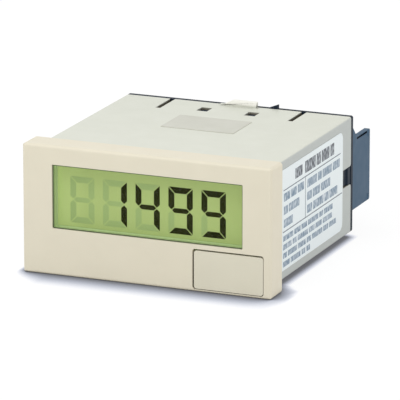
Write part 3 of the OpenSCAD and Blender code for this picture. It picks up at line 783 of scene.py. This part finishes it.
# Print on the side label: rules as (height, from, to), an upright one as (place, from, to), and
# blocks of plain bars. Heights are above the middle and the rest runs along Y. A block has its
# first row's height, the step down to the next, the bars' height, where its rows start, where each
# one ends, and its ink. An ink has its own colour and the one that it wavers towards.
printSettings = {
    "lift": 0.012,
    "rule": 0.17,
    "rules": ((5.45, 4.4, 32.7), (-2.2, 4.2, 33.6)),
    "upright": (15.15, -2.1, 5.3),
    "blocks": (
        {"top": 7.2, "step": 0, "bar": 1.9, "start": 10.1, "ends": (14.2,), "ink": "print_dark"},
        {"top": 7.2, "step": 0, "bar": 2.2, "start": 14.9, "ends": (29.4,), "ink": "print_dark"},
        {"top": 4.1, "step": 2.4, "bar": 1.5, "start": 4.6, "ends": (14.4, 13.8, 10.5),
         "ink": "print_pale"},
        {"top": 3.9, "step": 2.38, "bar": 1.55, "start": 16, "ends": (32.3, 29.7, 32.8),
         "ink": "print_pale"},
        {"top": -3.45, "step": 1.58, "bar": 1, "start": 4.3, "ends": (30.5, 28.5, 32.7, 17.5),
         "ink": "print_pale"},
    ),
    "barLengths": (1.8, 5.2),
    "barTurn": 2.4,  # how fast the lengths change from bar to bar
    "rowTurn": 1.7,  # and from row to row
    "gap": 0.5,
    "inks": {
        "print_rule": ((82, 98, 110), (82, 98, 110)),
        "print_dark": ((46, 56, 68), (225, 233, 240)),
        "print_pale": ((114, 140, 162), (232, 240, 246)),
    },
    "waverSize": 0.5,
    "waverStretch": (1, 0.8, 2.2),
    "waverMost": 0.75,
    "waverBand": (0.42, 0.68),
    "roughness": 0.4,
}


def inkMaterial(name, settings):
    # Ink whose tone wavers along the row between its two colours
    own, other = settings["inks"][name]
    material, tree, shader = newMaterial(name)
    cloud = noise(tree, settings["waverSize"], detail=1, stretch=settings["waverStretch"])
    waver = spread(tree, cloud, 0, settings["waverMost"], *settings["waverBand"])
    tree.links.new(blendColours(tree, waver, linear(*own), linear(*other)),
                   shader.inputs["Base Color"])
    shader.inputs["Roughness"].default_value = settings["roughness"]
    return material


def barSpans(start, end, settings, seed):
    # Splits a row into bars: length i = short + (long - short) * (0.5 + 0.5 sin(barTurn i + seed))
    short, long = settings["barLengths"]
    spans = []
    at = start
    while at < end - short:
        wave = 0.5 + 0.5 * math.sin(settings["barTurn"] * len(spans) + seed)
        length = short + (long - short) * wave
        spans.append((at, min(at + length, end)))
        at += length + settings["gap"]
    return spans


def printPatches(settings):
    # Each patch of ink as (y from, y to, z from, z to, ink)
    inks = list(settings["inks"])
    half = settings["rule"] / 2
    rule = inks.index("print_rule")
    patches = [(start, end, z - half, z + half, rule) for z, start, end in settings["rules"]]
    y, low, high = settings["upright"]
    patches.append((y - half, y + half, low, high, rule))
    rowCount = 0
    for block in settings["blocks"]:
        half = block["bar"] / 2
        ink = inks.index(block["ink"])
        for row, end in enumerate(block["ends"]):
            z = block["top"] - row * block["step"]
            spans = barSpans(block["start"], end, settings, settings["rowTurn"] * rowCount)
            patches += [(first, last, z - half, z + half, ink) for first, last in spans]
            rowCount += 1
    return np.array(patches)


def makePrint(settings):
    # Thin boxes on the label's face: corner 4 i + 2 j + k has the i-th x, the j-th y and the k-th z
    patches = printPatches(settings)
    face = nodeBox("side_label")[1][0]
    x = (face - settings["lift"], face + settings["lift"])
    corners = [np.stack([np.full(len(patches), x[i]), patches[:, j], patches[:, 2 + k]], 1)
               for i in (0, 1) for j in (0, 1) for k in (0, 1)]
    box = np.array([[0, 1, 3, 2], [4, 6, 7, 5], [0, 4, 5, 1], [2, 3, 7, 6], [0, 2, 6, 4],
                    [1, 5, 7, 3]])
    faces = (np.arange(len(patches))[:, None, None] * 8 + box).reshape(-1, 4).tolist()
    materials = [inkMaterial(name, settings) for name in settings["inks"]]
    piece = addSkin("label_print", np.stack(corners, 1), faces, [], materials)
    piece.data.polygons.foreach_set("material_index", patches[:, 4].astype(np.int32).repeat(6))


dress(plastic, labelLooks)
makePrint(printSettings)
print("stage: labels")

# Inner parts: each look with the nodes that wear it
plasticLooks = {
    "board_green": (["display_board", "main_board"],
                    {"colour": (47, 107, 70), "roughness": 0.35, "vary": 6}),
    "component_black": (["board_header", "controller_chip", "chip_resistors", "input_coupler"],
                        {"colour": (36, 38, 42), "roughness": 0.5, "vary": 3}),
    "ceramic_tan": (["chip_capacitors"], {"colour": (176, 138, 92), "roughness": 0.5}),
    "frame_white": (["lcd_frame"], {"colour": (232, 230, 220), "roughness": 0.5}),
    "strip_rubber": (["contact_strip"], {"colour": (90, 90, 94), "roughness": 0.7}),
}
metalLooks = {
    "can_metal": (["crystal_can", "smoothing_capacitor"],
                  {"colour": (200, 203, 208), "roughness": 0.3}),
    "cell_steel": (["battery_cell"], {"colour": (205, 208, 210), "roughness": 0.28}),
    "contact_brass": (["battery_negative_contact", "battery_positive_contact"],
                      {"colour": (214, 192, 120), "roughness": 0.3}),
    "plate_tin": (["terminal_plates"], {"colour": (205, 200, 182), "roughness": 0.35}),
}
dress(plastic, plasticLooks)
dress(metal, metalLooks)

washerSettings = {
    "rounding": 0.1,
    "look": {"colour": (205, 207, 206), "roughness": 0.3},
}
softened("washers", "clamp_washers",
         metal("washer_steel", **washerSettings["look"]), washerSettings["rounding"])

screwSettings = {
    "rounding": 0.14,
    "look": {"colour": (214, 216, 216), "roughness": 0.28},
}
softened("screws", "terminal_screws",
         metal("screw_steel", **screwSettings["look"]), screwSettings["rounding"])
print("stage: inner parts and fasteners")

scene.view_settings.view_transform = "Standard"
